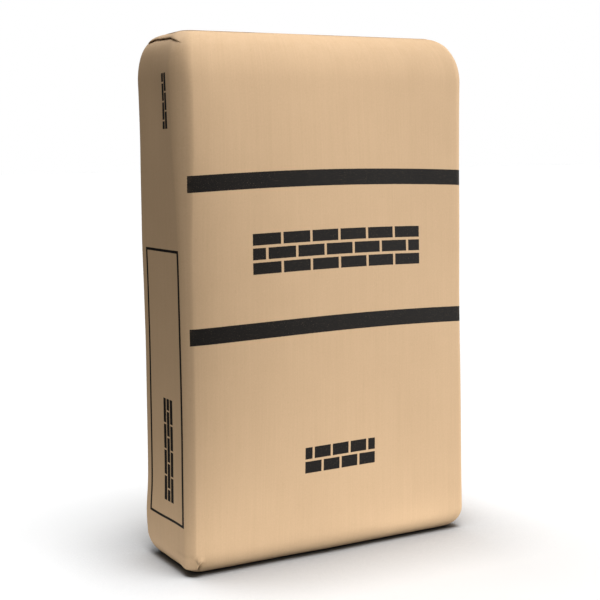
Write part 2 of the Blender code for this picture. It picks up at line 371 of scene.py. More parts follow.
def fold_relief(run, w, end, side):
    """Both sides of a narrow side's fold line, as (way past the line towards the end, height
    of the end's ply, height of the wall's ply). At the top the end's ply stands proud and rolls
    over at its edge, and the wall's is pressed in. At the bottom the two are level, but for
    the front left corner, where the wall's ply swells over the end's to an ear."""
    way = along_side(run, side)
    gap = (w - fold_line(way, end)) * (TOP_SCALE if end > 0 else BOTTOM_SCALE) * end
    roll = ROLL * np.exp(-np.abs(gap) / ROLL_WIDTH)
    if end > 0:
        size = 1.0 if side < 0 else RIGHT_LIP
        ends = size * (1 - smooth(np.abs(way - MOUTH_MIDDLE) / MOUTH_HALF, *LIP_ENDS))
        outer = ends * (LIP * bell(gap, 0, LIP_WIDTH) - roll)
        inner = -ends * (RECESS * bell(gap, 0, RECESS_WIDTH) + RECESS_ROLL * roll)
    else:
        ear = window(way, *EAR_WAYS) * (1.0 if side < 0 else 0.0)
        outer = -EAR_STEP * ear * bell(gap, 0, EAR_STEP_WIDTH)
        inner = ear * (EAR * bell(gap, *EAR_PLACE) - roll)
    return gap, outer, inner


def skin_relief(run, w, z):
    """The whole relief of the skin's wall. At each fold line one ply's height goes over into
    the other's."""
    relief = soft_relief(run, w, z) + seam_relief(run)
    for side in (-1, 1):
        for end in (1, -1):
            gap, outer, inner = fold_relief(run, w, end, side)
            mix = smooth(gap, -PLY_BLEND, PLY_BLEND)
            relief = relief + outer * mix + inner * (1 - mix)
    return relief


def painted_crease_shade(run, w):
    """Painted shade in the creases round the bottom left ear, from 0 to 1: a thin hook round its
    front end and lower edge, and a faint soft line above it."""
    way = along_side(run, -1)
    up = (w + 1) * BOTTOM_SCALE
    tip = way + CREASE_CURVE * (up - CREASE_TIP_UP) ** 2
    tip = bell(tip, CREASE_TIP, CREASE_WIDTH) * window(up, *CREASE_WAYS)
    lower = LOWER_SHADE * bell(up, *LOWER_PLACE) * window(way, *LOWER_WAYS)
    upper = UPPER_SHADE * bell(up, *UPPER_PLACE) * window(way, *UPPER_WAYS)
    return np.maximum(np.maximum(tip, lower), upper)


def wear_of(run, w):
    """How much the paper is rubbed, from 0 to 1: most along the upright folds and where the
    walls turn over into the ends."""
    fold = bell(off_middle(run), FLAT_X + FOLD_RADIUS * math.pi / 4, FOLD_WEAR_WIDTH)
    turned = bell(bend_share(w), *TURN_WEAR_PLACE)
    return np.clip(FOLD_WEAR * fold + TURN_WEAR * turned, 0, 1)


def flap_relief(x, y):
    """Plies folded over an end panel: the two long flaps overlap along the middle, and the
    corner flaps under them end on slanting lines."""
    overlap = OVERLAP * window(y, *OVERLAP_WAYS)
    corners = -CORNER_FLAP * smooth(np.abs(x) + CORNER_SLANT * np.abs(y), *CORNER_EDGE)
    return overlap * (1 - smooth(np.abs(x), *OVERLAP_ENDS)) + corners


def arch_of_print(run):
    """How far the print is arched up on a broad face: a parabola over its width."""
    return PRINT_ARCH * np.clip(1 - (off_middle(run) / HALF_X) ** 2, 0, 1)


def paper_height(w, z):
    """Height on the paper before it was folded: the height on the wall, and the way over the
    rounding beyond it."""
    turn = math.pi / 2 * bend_share(w)
    top = HEIGHT - TOP_REACH[2] + sum(TOP_REACH[1:]) / 2 * turn
    low = BOTTOM_REACH[2] - sum(BOTTOM_REACH[1:]) / 2 * turn
    bent = np.where(w > 0, top, low)
    return np.where(np.abs(w) > STRAIGHT, bent, z)


# Putting surfaces into meshes
def unit(vectors):
    """Vectors brought to length 1."""
    return vectors / np.linalg.norm(vectors, axis=-1, keepdims=True)


def wall_surface(outline, w, depth=0.0, lower_top=0.0):
    """A wall's plain points for rows of places w, one per column, and its unit normals: the way
    round crossed with the way up."""
    points = block(outline.u, outline.v, w, depth, lower_top)
    round_way = np.roll(points, -1, 1) - np.roll(points, 1, 1)
    return points, unit(np.cross(round_way, np.gradient(points, axis=0)))


def panel_points(outline, end, depth=0.0, lower_top=0.0):
    """Inner points of an end panel, row by row."""
    u, v = np.meshgrid(outline.u_cuts[1:-1], outline.v_cuts[1:-1])
    w = np.full(u.size, float(end))
    return block(u.ravel(), v.ravel(), w, depth, lower_top)


def grid_ids(shape, first=0):
    """Vertex numbers of a grid, row by row."""
    return first + np.arange(shape[0] * shape[1]).reshape(shape)


def closed(ids):
    """A grid of vertex numbers whose last column joins its first again."""
    return np.concatenate([ids, ids[:, :1]], 1)


def quads(ids):
    """Faces of a grid of vertex numbers, anticlockwise where rows go up and columns right."""
    return np.stack([ids[:-1, :-1], ids[:-1, 1:], ids[1:, 1:], ids[1:, :-1]], -1).reshape(-1, 4)


def panel_quads(outline, ring, first, end):
    """Faces of an end panel, turned outwards: the rim of its grid is a wall's last ring, and
    the numbers of its inner points start at first."""
    nu, nv = len(outline.u_cuts) - 1, len(outline.v_cuts) - 1
    ids = np.empty((nv + 1, nu + 1), int)
    ids[0, :nu] = ring[:nu]
    ids[:nv, nu] = ring[nu : nu + nv]
    ids[nv, nu:0:-1] = ring[nu + nv : 2 * nu + nv]
    ids[nv:0:-1, 0] = ring[2 * nu + nv :]
    ids[1:nv, 1:nu] = grid_ids((nv - 1, nu - 1), first)
    return quads(ids if end > 0 else ids[:, ::-1])


def in_scene(name, data):
    """A new object of the scene."""
    made = bpy.data.objects.new(name, data)
    bpy.context.scene.collection.objects.link(made)
    return made


def make_piece(name, points, faces, uv=None, marks=None):
    """A named piece from whole arrays of points and four-cornered faces, shaded smooth. uv has
    a row for each face corner, and marks are numbers for each point."""
    mesh = bpy.data.meshes.new(name)
    mesh.vertices.add(len(points))
    mesh.vertices.foreach_set("co", np.asarray(points, np.float32).ravel())
    mesh.loops.add(faces.size)
    mesh.loops.foreach_set("vertex_index", faces.ravel().astype(np.int32))
    mesh.polygons.add(len(faces))
    mesh.polygons.foreach_set("loop_start", np.arange(0, faces.size, 4, dtype=np.int32))
    mesh.update(calc_edges=True)
    mesh.shade_smooth()
    if uv is not None:
        layer = mesh.uv_layers.new(name="paper")
        layer.uv.foreach_set("vector", np.asarray(uv, np.float32).ravel())
    for key, numbers in (marks or {}).items():
        layer = mesh.attributes.new(key, "FLOAT", "POINT")
        layer.data.foreach_set("value", np.asarray(numbers, np.float32).ravel())
    mesh.validate()
    return in_scene(name, mesh)


def make_sheet(name, points, faces, uv, marks, thickness):
    """A piece with a wall of this thickness, inwards from the surface that shows."""
    sheet = make_piece(name, points, faces, uv, marks)
    wall = sheet.modifiers.new("Paper", "SOLIDIFY")
    wall.thickness = thickness
    wall.offset = -1
    wall.use_even_offset = True
    wall.use_quality_normals = True
    return sheet


# Pieces
def skin_outline():
    """The skin's columns, closer at the folds, with one on each side of the seam's step."""
    seam = -sum(SEAM_RISE) / 2
    beside = seam / FLAT_X * STRAIGHT + np.array([-SEAM_CELL, SEAM_CELL])
    return Outline(np.sort(np.append(cuts(*SKIN_U), beside)), cuts(SKIN_V))


def add_skin():
    """The paper skin: a closed tube with two end panels, slit along the mouth. Under the slit
    the narrow side's ply goes on inwards as a tucked flap."""
    outline, rows = skin_outline(), cuts(*SKIN_ROWS)
    w = warp_rows(rows, outline.run)
    run = outline.run + 0 * w
    points, normal = wall_surface(outline, w)
    relief = skin_relief(run, w, points[..., 2])
    # Along the mouth the two plies part: the wall's own points go to the upper edge
    mouth = int(np.argmin(np.abs(rows - TOP_ROW)))
    ajar = np.where(np.abs(along_side(outline.run, -1) - MOUTH_MIDDLE) < MOUTH_HALF)[0]
    _, outer, inner = fold_relief(outline.run[ajar], w[mouth, ajar], 1, -1)
    base = relief[mouth, ajar] - (outer + inner) / 2
    relief[mouth, ajar] = base + outer
    shown = points + normal * relief[..., None]
    ids = grid_ids(w.shape)
    # The lower edge of the mouth, and the flap that is tucked in behind it
    lower_relief = base + inner
    lower = points[mouth, ajar] + normal[mouth, ajar] * lower_relief[:, None]
    lower_ids = w.size + np.arange(len(ajar))
    kept = slice(TUCK_MARGIN, -TUCK_MARGIN)
    tucked = ajar[kept]
    steps = np.arange(1, TUCK_ROWS + 1)[:, None]
    tuck_w = w[mouth, tucked] + TUCK_STEP * steps
    tuck = block(outline.u[tucked], outline.v[tucked], tuck_w)
    tuck = tuck + normal[mouth, tucked] * (lower_relief[kept] - TUCK_SINK * steps)[..., None]
    tuck_ids = grid_ids(tuck_w.shape, w.size + len(ajar))
    below = ids[: mouth + 1].copy()
    below[mouth, ajar] = lower_ids
    flap = np.concatenate([lower_ids[None, kept], tuck_ids])
    wall_faces = np.concatenate([quads(closed(below)), quads(closed(ids[mouth:])), quads(flap)])
    total = w.size + len(ajar) + tuck_w.size
    panels, panel_faces = [], []
    for end, ring in ((-1, ids[0]), (1, ids[-1])):
        inside = panel_points(outline, end)
        inside[:, 2] += end * flap_relief(inside[:, 0], inside[:, 1])
        panels.append(inside)
        panel_faces.append(panel_quads(outline, ring, total, end))
        total += len(inside)
    everything = np.concatenate([shown.reshape(-1, 3), lower, tuck.reshape(-1, 3), *panels])
    # The paper's own map: way round and height. The end panels get maps of their own beside it
    height = paper_height(w, points[..., 2]) - arch_of_print(run)
    tuck_height = height[mouth, tucked] + TUCK_HEIGHT * steps
    flat_run = joined(run, outline.run[ajar], outline.run[tucked] + 0 * tuck_w)[wall_faces]
    flat_height = joined(height, height[mouth, ajar], tuck_height)[wall_faces]
    wrapped = flat_run.max(1, keepdims=True) - flat_run > AROUND / 2
    uv = [np.stack([flat_run + AROUND * wrapped, flat_height], -1).reshape(-1, 2)]
    for place, faces in zip(PANEL_MAPS, panel_faces):
        uv.append(everything[faces.ravel(), :2] + (0, place))
    # Wear, and shade painted into the ear's creases, under the mouth and on the tucked flap
    wear, painted_shade = wear_of(run, w), painted_crease_shade(run, w)
    on_panels = np.ones(sum(map(len, panels)))
    wear = joined(wear, wear[mouth, ajar], 0 * tuck_w, PANEL_WEAR * on_panels)
    painted_shade = joined(painted_shade, LIP_SHADE + 0 * ajar, TUCK_SHADE + 0 * tuck_w, 0 * on_panels)
    faces = np.concatenate([wall_faces, *panel_faces])
    marks = {"wear": wear, "painted_shade": painted_shade}
    return make_sheet("sack_skin", everything, faces, np.concatenate(uv), marks, SKIN_WALL)


def add_cover(name, end):
    """A cover sheet pasted over an end: a fine grid over the flat panel and rings that follow
    the rounding, just outside the skin. Its rim is slightly uneven."""
    outline = Outline(cuts(COVER_U), cuts(COVER_V))
    steps = np.linspace(1, 0, COVER_RINGS)[::end]
    turn = outline.run / QUARTER * math.pi / 2
    around = (np.cos(turn) * RING_RADIUS, np.sin(turn) * RING_RADIUS)
    uneven = 1 + COVER_UNEVEN * waves(*around, seed=21 + end, count=8, low=0.02, high=0.09)
    w = end * (1 - COVER_RIM * steps[:, None] * uneven)
    points, normal = wall_surface(outline, w)
    points = points + normal * COVER_ROOM
    ring = 0 if end < 0 else COVER_RINGS - 1
    points[ring, :, 2] = end * COVER_ROOM + block(outline.u, outline.v, w[ring])[:, 2]
    inside = panel_points(outline, end)
    x, y = inside[:, 0], inside[:, 1]
    flaps = FLAPS_THROUGH * flap_relief(x, y) * smooth(FLAPS_HALF - np.abs(y), 0, FLAPS_FADE)
    inside[:, 2] += end * (COVER_ROOM + flaps)
    ids = grid_ids(w.shape)
    faces = np.concatenate([quads(closed(ids)), panel_quads(outline, ids[ring], w.size, end)])
    everything = np.concatenate([points.reshape(-1, 3), inside])
    everything[:, 2] = np.clip(everything[:, 2], 0, HEIGHT)
    rim = joined(np.repeat(steps, len(outline.u)), np.zeros(len(inside)))
    uv = everything[faces.ravel(), :2]
    return make_sheet(name, everything, faces, uv, {"wear": rim}, COVER_WALL)


def sleeve_middle(turn):
    """Points along the middle of the sleeve, one column for each turn round its section. They
    leave the mouth along the skin's rounding and go over in a cubic Bezier to a level stretch
    under the top panel."""
    way = MOUTH_MIDDLE + (MOUTH_HALF - SLEEVE_MARGIN) * np.cos(turn)
    u, v = -np.ones(SLEEVE_SIDES), -np.copysign(side_place(np.abs(way)), way)
    line = fold_line(way, 1)
    start = block(u, v, line + SLEEVE_PAST)
    ahead = unit(block(u, v, line + SLEEVE_AIM) - start)
    out = unit(np.cross(ahead, (0, 1, 0)))
    out *= np.sign(-out[:, :1])
    start = start - out * SLEEVE_UNDER
    across = SLEEVE_OFF - SLEEVE_HALF * np.cos(turn)
    height = HEIGHT - SLEEVE_LOW - SLEEVE_ARCH * (across / SLEEVE_ARCH_HALF) ** 2
    stop = np.stack([SLEEVE_OUTER_X + 0 * way, across, height], -1)
    t = np.linspace(0, 1, SLEEVE_CELLS // 2)[:, None, None]
    first, last = start + ahead * SLEEVE_LEAVES, stop - (SLEEVE_ARRIVES, 0, 0)
    shares = ((1 - t) ** 3, 3 * t * (1 - t) ** 2, 3 * t**2 * (1 - t), t**3)
    climb = sum(share * point for share, point in zip(shares, (start, first, last, stop)))
    t = np.linspace(0, 1, SLEEVE_CELLS // 2 + 1)[1:, None, None]
    level = stop + t * (SLEEVE_INNER_X - SLEEVE_OUTER_X, 0, 0)
    return np.concatenate([climb, level])


def add_sleeve():
    """The valve sleeve: a flattened paper tube, whose sections round its middle are flat ovals
    that open a little at the mouth."""
    turn = np.linspace(0, 2 * math.pi, SLEEVE_SIDES, endpoint=False)
    thick = SLEEVE_THICK * np.copysign(np.abs(np.sin(turn)) ** SLEEVE_ROUND, np.sin(turn))
    middle = sleeve_middle(turn)
    normal = np.cross(np.gradient(middle, axis=0), (0, 1, 0))
    normal *= np.sign(normal[..., 2:])
    opened = 1 + SLEEVE_FLARE * np.exp(-np.arange(len(middle)) / SLEEVE_FLARE_CELLS)
    points = middle + unit(normal) * (thick * opened[:, None])[..., None]
    faces = quads(closed(grid_ids(points.shape[:2])))
    shape = (len(middle), SLEEVE_SIDES + 1)
    ways, lengths = (np.linspace(0, size, n) for size, n in zip(SLEEVE_MAP, shape[::-1]))
    uv = np.stack(np.meshgrid(ways, lengths), -1).reshape(-1, 2)[quads(grid_ids(shape)).ravel()]
    marks = {"wear": 0 * points[..., 0]}
    sleeve = make_sheet("valve_tube", points.reshape(-1, 3), faces, uv, marks, SLEEVE_WALL)
    cleaner = bmesh.new()
    cleaner.from_mesh(sleeve.data)
    bmesh.ops.recalc_face_normals(cleaner, faces=cleaner.faces[:])
    cleaner.to_mesh(sleeve.data)
    cleaner.free()
    return sleeve


def add_cement():
    """The cement: the skin's surface 2.2 mm further in, with its top settled unevenly below
    the valve sleeve."""
    outline, rows = Outline(cuts(CEMENT_U), cuts(CEMENT_V)), cuts(CEMENT_ROWS)
    w = rows[:, None] + 0 * outline.run
    run = outline.run + 0 * w
    points, normal = wall_surface(outline, w, CEMENT_DEPTH, HEAD_SPACE)
    relief = CEMENT_RELIEF * soft_relief(run, w, points[..., 2]) - CEMENT_OFF
    ids = grid_ids(w.shape)
    parts, faces = [(points + normal * relief[..., None]).reshape(-1, 3)], [quads(closed(ids))]
    total = w.size
    for end, ring in ((-1, ids[0]), (1, ids[-1])):
        inside = panel_points(outline, end, CEMENT_DEPTH, HEAD_SPACE)
        if end > 0:
            x, y = inside[:, 0], inside[:, 1]
            off_ends = (HEAP_X - np.abs(x)) / HEAP_X_FADE
            off_sides = (HEAP_Y - np.abs(y)) / HEAP_Y_FADE
            heap = waves(x, y, seed=31, count=9, low=0.03, high=0.10) - HEAP_MEAN
            inside[:, 2] += HEAP * heap * np.clip(np.minimum(off_ends, off_sides), 0, 1)
        parts.append(inside)
        faces.append(panel_quads(outline, ring, total, end))
        total += len(inside)
    return make_piece("cement_powder", np.concatenate(parts), np.concatenate(faces))


# Materials
PALE_KRAFT, DARK_KRAFT = (0.702, 0.484, 0.289, 1), (0.539, 0.360, 0.205, 1)
PALE_COVER, DARK_COVER = (0.70, 0.50, 0.31, 1), (0.54, 0.375, 0.222, 1)
PALE_SLEEVE, DARK_SLEEVE = (0.58, 0.40, 0.24, 1), (0.44, 0.30, 0.17, 1)
RUBBED_KRAFT = (0.78, 0.58, 0.38, 1)
PASTE_STAIN = (0.40, 0.26, 0.14, 1)
# Colour of the shade painted into the creases
PAINTED_CREASE_SHADE = (0.15, 0.092, 0.050, 1)
INK = (0.0125, 0.0110, 0.0100, 1)
DARK_CEMENT, PALE_CEMENT = (0.24, 0.24, 0.235, 1), (0.40, 0.40, 0.385, 1)
WHITE = (1, 1, 1, 1)
# Colour of the floor's painted shadow
SHADE_TINT = (0.0, 0.02, 0.05, 1)

# Share of each colour that shows where its mark is full: rubbed, painted shade, soaked
RUBBED, PAINTED_SHADE_SHARE, SOAKED = 0.22, 0.75, 0.3
BUMP, PRINTED_BUMP, PLAIN_BUMP = 0.00012, 0.55, 0.6

# The print on the paper's map: heights of the bands, the side's outlined oblong, and strips of
# bricks as (corner from its face's middle, brick's pitch, bricks, courses, joint)
BANDS = ((0.3893, 0.4059), (0.2379, 0.2547))
BAND_START, BAND_STOP_SHORT = -0.1660, 0.006
FRAME_MIDDLE, FRAME_OUTER, FRAME_INNER = (0.0048, 0.1917), (0.0429, 0.1408), (0.0388, 0.1380)
FRONT_STRIPS = (
    ((-0.1000, 0.3020), (0.0350, 0.0146), 6, 3, 0.0028),
    ((-0.0400, 0.0880), (0.0225, 0.0152), 4, 2, 0.0026),
)
BACK_SHIFT = -0.005
SIDE_STRIPS = (
    ((0.0390, 0.4520), (0.0185, 0.0092), 3, 2, 0.0016),
    ((0.0230, 0.0700), (0.0273, 0.0083), 4, 3, 0.0018),
)
INK_EDGE, BRICK_EDGE, INK_SHAKE = 0.0001, 0.00008, 0.0005


def add_node(tree, kind, links=(), **settings):
    """A node of this kind. links are (socket, value or other node's socket) pairs."""
    made = tree.nodes.new("ShaderNode" + kind)
    for key, value in settings.items():
        setattr(made, key, value)
    for socket, value in links:
        if isinstance(value, bpy.types.NodeSocket):
            tree.links.new(value, made.inputs[socket])
        else:
            made.inputs[socket].default_value = value
    return made


class Finish:
    """A material under construction, with short calls for the nodes that it needs."""

    def __init__(self, name, roughness, specular):
        self.material = bpy.data.materials.new(name)
        self.material.use_nodes = True
        self.tree = self.material.node_tree
        self.shader = self.tree.nodes["Principled BSDF"]
        self.shader.inputs["Roughness"].default_value = roughness
        self.shader.inputs["Specular IOR Level"].default_value = specular

    def node(self, kind, links=(), **settings):
        return add_node(self.tree, kind, links, **settings)

    def math(self, operation, a, b):
        return self.node("Math", ((0, a), (1, b)), operation=operation).outputs[0]

    def vector(self, operation, a, b=(0, 0, 0), second=1):
        """second is the socket that takes b."""
        links = ((0, a), (second, b))
        return self.node("VectorMath", links, operation=operation).outputs["Vector"]

    def turned(self, vector, angle):
        """A vector turned about Z."""
        links = (("Vector", vector), ("Angle", angle))
        return self.node("VectorRotate", links, rotation_type="Z_AXIS").outputs[0]

    def noise(self, vector, scale, detail=3.0, roughness=0.5, output="Fac"):
        links = (("Vector", vector), ("Scale", scale), ("Detail", detail), ("Roughness", roughness))
        return self.node("TexNoise", links).outputs[output]

    def fibres(self, vector, stretch, scale, roughness=0.5):
        """Noise drawn out along the vector's Y, where stretch shortens the vector."""
        return self.noise(self.vector("MULTIPLY", vector, (1, stretch, 1)), scale, 2, roughness)

    def spread(self, value, low, high, to_low=0.0, to_high=1.0):
        """Maps the range from low to high evenly to that from to_low to to_high."""
        links = ((0, value), (1, low), (2, high), (3, to_low), (4, to_high))
        return self.node("MapRange", links).outputs[0]

    def mix(self, share, a, b):
        """Colour a gone over into b by a share."""
        links = ((0, share), (6, a), (7, b))
        return self.node("Mix", links, data_type="RGBA").outputs[2]

    def paper_map(self):
        return self.node("UVMap", uv_map="paper").outputs[0]

    def mark(self, key):
        """The number that each point of the mesh carries under this key."""
        return self.node("Attribute", attribute_name=key).outputs["Fac"]

    def finish(self, colour, roughness=None, height=None, distance=0.0001, strength=1.0):
        """Joins colour, roughness and a bump height to the shader."""
        self.tree.links.new(colour, self.shader.inputs["Base Color"])
        if roughness is not None:
            self.tree.links.new(roughness, self.shader.inputs["Roughness"])
        if height is not None:
            links = (("Height", height), ("Distance", distance), ("Strength", strength))
            bump = self.node("Bump", links)
            self.tree.links.new(bump.outputs["Normal"], self.shader.inputs["Normal"])
        return self.material


def paper_ground(look, uv, pale, dark):
    """Colour and height of kraft paper: clouds, a fine mottle, ribs and streaks along the
    paper's length, and short dark and pale fibres in two directions, all added up."""
    clouds = look.noise(uv, scale=26, detail=4, roughness=0.55)
    mottle = look.noise(uv, scale=520, roughness=0.6)
    ribs = look.fibres(uv, stretch=0.016, scale=640, roughness=0.6)
    streaks = look.fibres(uv, stretch=0.010, scale=130)
    dark_fibres = look.fibres(uv, stretch=0.10, scale=1500)
    pale_fibres = look.fibres(look.turned(uv, 0.9), stretch=0.10, scale=1300)
    share = 0.5
    for layer, low, high, to_low, to_high in (
        (clouds, 0.3, 0.7, -0.05, 0.05),
        (mottle, 0.3, 0.7, -0.09, 0.09),
        (ribs, 0.3, 0.7, -0.07, 0.07),
        (streaks, 0.3, 0.7, -0.035, 0.035),
        (dark_fibres, 0.64, 0.72, 0, -0.28),
        (pale_fibres, 0.66, 0.74, 0, 0.24),
    ):
        share = look.math("ADD", share, look.spread(layer, low, high, to_low, to_high))
    height = 0.0
    for layer, part in ((ribs, 0.55), (mottle, 0.3), (dark_fibres, 0.2)):
        height = look.math("ADD", height, look.math("MULTIPLY", layer, part))
    return look.mix(share, dark, pale), height


def edge_distance(look, place, middle, half):
    """Distance outside an upright rectangle, negative inside: the greater of |u - cu| - hu and
    |v - cv| - hv."""
    off = look.vector("ABSOLUTE", look.vector("SUBTRACT", place, (*middle, 0)))
    off = look.vector("SUBTRACT", off, (*half, 0))
    split = look.node("SeparateXYZ", ((0, off),)).outputs
    return look.math("MAXIMUM", split[0], split[1])


def brick_courses(look, place, corner, pitch, bricks, courses, joint, upright):
    """Ink of a strip of bricks in half bond, so many bricks long and courses high from its
    corner. Its sides cut the last bricks off square."""
    local = look.vector("SUBTRACT", place, (*corner, 0))
    if upright:
        local = look.turned(local, -math.pi / 2)
    links = (
        ("Vector", look.vector("ADD", local, (0, pitch[1], 0))),
        ("Scale", 1.0),
        ("Mortar Size", joint / 2),
        ("Mortar Smooth", 0.0),
        ("Brick Width", pitch[0]),
        ("Row Height", pitch[1]),
    )
    mortar = look.node("TexBrick", links).outputs["Fac"]
    middle = (pitch[0] * bricks / 2, pitch[1] * courses / 2)
    inside = edge_distance(look, local, middle, (middle[0] - joint / 2, middle[1] - joint / 2))
    shown = look.spread(inside, BRICK_EDGE, -BRICK_EDGE)
    return look.math("MULTIPLY", shown, look.math("SUBTRACT", 1.0, mortar))


def print_ink(look, place):
    """Where the ink lies, from 0 to 1: two bands from the front's left edge round to the back,
    two strips of bricks on both faces, and on the left side an outlined oblong and two strips
    that stand upright."""
    left, right = BAND_START, AROUND / 2 + QUARTER - FLAT_Y - BAND_STOP_SHORT
    side_middle = AROUND - QUARTER
    frame_middle = (side_middle + FRAME_MIDDLE[0], FRAME_MIDDLE[1])
    outer = edge_distance(look, place, frame_middle, FRAME_OUTER)
    inner = edge_distance(look, place, frame_middle, FRAME_INNER)
    nearest = look.math("MAXIMUM", outer, look.math("MULTIPLY", inner, -1.0))
    for low, high in BANDS:
        middle = ((left + right) / 2, (low + high) / 2)
        band = edge_distance(look, place, middle, ((right - left) / 2, (high - low) / 2))
        nearest = look.math("MINIMUM", nearest, band)
    ink = look.spread(nearest, INK_EDGE, -INK_EDGE)
    for start, strips, upright in (
        (0, FRONT_STRIPS, False),
        (AROUND / 2 + BACK_SHIFT, FRONT_STRIPS, False),
        (side_middle, SIDE_STRIPS, True),
    ):
        for (x, y), *size in strips:
            strip = brick_courses(look, place, (start + x, y), *size, upright)
            ink = look.math("MAXIMUM", ink, strip)
    return ink


def printed_kraft():
    """The sack's kraft paper: rubbed along the folds, with shade painted into the creases, and
    printed with a thin uneven ink."""
    look = Finish("printed kraft paper", 0.74, 0.32)
    uv = look.paper_map()
    colour, height = paper_ground(look, uv, PALE_KRAFT, DARK_KRAFT)
    patches = look.spread(look.noise(uv, scale=90, detail=5, roughness=0.65), 0.35, 0.7)
    rubbed = look.math("MULTIPLY", look.mark("wear"), patches)
    colour = look.mix(look.math("MULTIPLY", rubbed, RUBBED), colour, RUBBED_KRAFT)
    # Shade painted into the creases, under the mouth and on the tucked flap
    painted_shading = look.math("MULTIPLY", look.mark("painted_shade"), PAINTED_SHADE_SHARE)
    colour = look.mix(painted_shading, colour, PAINTED_CREASE_SHADE)
    shaken = look.noise(uv, scale=900, detail=2, output="Color")
    shaken = look.vector("SUBTRACT", shaken, (0.5, 0.5, 0.5))
    shaken = look.vector("SCALE", shaken, INK_SHAKE, "Scale")
    ink = print_ink(look, look.vector("ADD", uv, shaken))
    thin = look.spread(look.noise(uv, scale=1100, roughness=0.6), 0.62, 0.78, 1, 0.55)
    ink = look.math("MULTIPLY", ink, thin)
    ink = look.math("MULTIPLY", ink, look.spread(rubbed, 0.0, 1.0, 1.0, 0.55))
    roughness = look.spread(ink, 0, 1, 0.76, 0.60)
    shine = look.spread(ink, 0, 1, 0.32, 0.10)
    look.tree.links.new(shine, look.shader.inputs["Specular IOR Level"])
    height = look.math("ADD", height, look.math("MULTIPLY", ink, 0.05))
    return look.finish(look.mix(ink, colour, INK), roughness, height, BUMP, PRINTED_BUMP)


def plain_kraft(name, pale, dark, across):
    """Unprinted kraft paper. across turns its grain along X, and its rim is a little darker
    where paste has soaked in."""
    look = Finish(name, 0.78, 0.3)
    uv = look.paper_map()
    if across:
        uv = look.turned(uv, math.pi / 2)
    colour, height = paper_ground(look, uv, pale, dark)
    rim = look.spread(look.mark("wear"), 0.35, 1)
    patches = look.spread(look.noise(uv, scale=140, detail=4), 0.35, 0.6)
    soaked = look.math("MULTIPLY", rim, patches)
    colour = look.mix(look.math("MULTIPLY", soaked, SOAKED), colour, PASTE_STAIN)
    roughness = look.spread(height, 0.3, 0.7, 0.72, 0.84)
    return look.finish(colour, roughness, height, BUMP, PLAIN_BUMP)


def powder():
    """Dry cement: grey, with soft lumps, fine grains and a dull surface."""
    look = Finish("dry cement powder", 0.95, 0.2)
    place = look.node("TexCoord").outputs["Object"]
    lumps = look.noise(place, scale=60, detail=5, roughness=0.6)
    grains = look.math("MULTIPLY", look.noise(place, scale=1800, roughness=0.7), 0.4)
    share = look.math("ADD", look.math("MULTIPLY", lumps, 0.6), grains)
    colour = look.mix(look.spread(share, 0.35, 0.65), DARK_CEMENT, PALE_CEMENT)
    roughness = look.spread(lumps, 0.3, 0.7, 0.88, 1.0)
    return look.finish(colour, roughness, share, distance=0.0006, strength=0.8)


def dress():
    """Makes the pieces, gives each its material, hangs it on the root and hides the solid that
    it stands for.
    """
    kraft = printed_kraft()
    cover_kraft = plain_kraft("cover sheet kraft paper", PALE_COVER, DARK_COVER, True)
    sleeve_kraft = plain_kraft("sleeve kraft paper", PALE_SLEEVE, DARK_SLEEVE, False)
    for piece, node, slot, material in (
        (add_skin(), "paper_sack", "kraft_paper", kraft),
        (add_cover("cover_sheet_top", 1), "top_cover_patch", "patch_paper", cover_kraft),
        (add_cover("cover_sheet_bottom", -1), "bottom_cover_patch", "patch_paper", cover_kraft),
        (add_sleeve(), "valve_sleeve", "sleeve_paper", sleeve_kraft),
        (add_cement(), "cement_fill", "cement_powder", powder()),
    ):
        piece.data.materials.append(material)
        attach(piece, "root")
        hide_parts(node)


# Room, light and camera
FLOOR_RINGS, FLOOR_SIDES = (0.4, 1.2, 4.0, 14.0, 60.0), 96
# Reach of the floor's painted shadow
SHADE_REACH = 0.13
SKY_GLOW, HORIZON = 0.077, 0.05
FLOOR_LIGHT = (0.985, 0.993, 1.0)  # a little cool, against the warm light off the paper
SUN_ANGLE, SUN_DISTANCE = 30, 3
GLOW_HEIGHT = 0.0015
CAMERA_AZIMUTH, CAMERA_ELEVATION, CAMERA_ROLL = -28.54, 6.465, -0.993
CAMERA_AIM, CAMERA_DISTANCE = (-0.0065, 0, 0.2685), 1.3388
CAMERA_LENS, CAMERA_SENSOR = 73.77, 36  # millimetres


def add_room():
    """A plain white floor out to the horizon, with painted shadow: its colour goes over to a dark
    one by how closed the space above it is."""
    around = np.linspace(0, 2 * math.pi, FLOOR_SIDES, endpoint=False)
    rings = np.array(FLOOR_RINGS)[:, None]
    disc = np.stack([rings * np.cos(around), rings * np.sin(around), 0 * rings * around], -1)
    ids = grid_ids(disc.shape[:2])
    faces = quads(closed(ids))[:, ::-1].tolist()
    faces += [(ids.size, int(a), int(b)) for a, b in zip(ids[0], np.roll(ids[0], -1))]
    mesh = bpy.data.meshes.new("floor")
    mesh.from_pydata(np.concatenate([disc.reshape(-1, 3), [[0, 0, 0]]]).tolist(), [], faces)
    mesh.validate()
    floor = in_scene("floor", mesh)
    floor.visible_diffuse = False
    floor.visible_glossy = False
    floor.visible_shadow = False
    look = Finish("white floor", 0.9, 0.1)
    reach = (("Distance", SHADE_REACH),)
    # Painted shadow: the floor's colour darkens where the sack closes the space above it
    shade = look.node("AmbientOcclusion", reach, samples=4).outputs["AO"]
    mesh.materials.append(look.finish(look.mix(shade, SHADE_TINT, WHITE)))
    return floor


def direction(azimuth, elevation):
    """Unit vector towards a place in the room. Azimuth 0 is in front of the sack and 90 to its
    right."""
    az, el = math.radians(azimuth), math.radians(elevation)
    return Vector((math.sin(az) * math.cos(el), -math.cos(az) * math.cos(el), math.sin(el)))


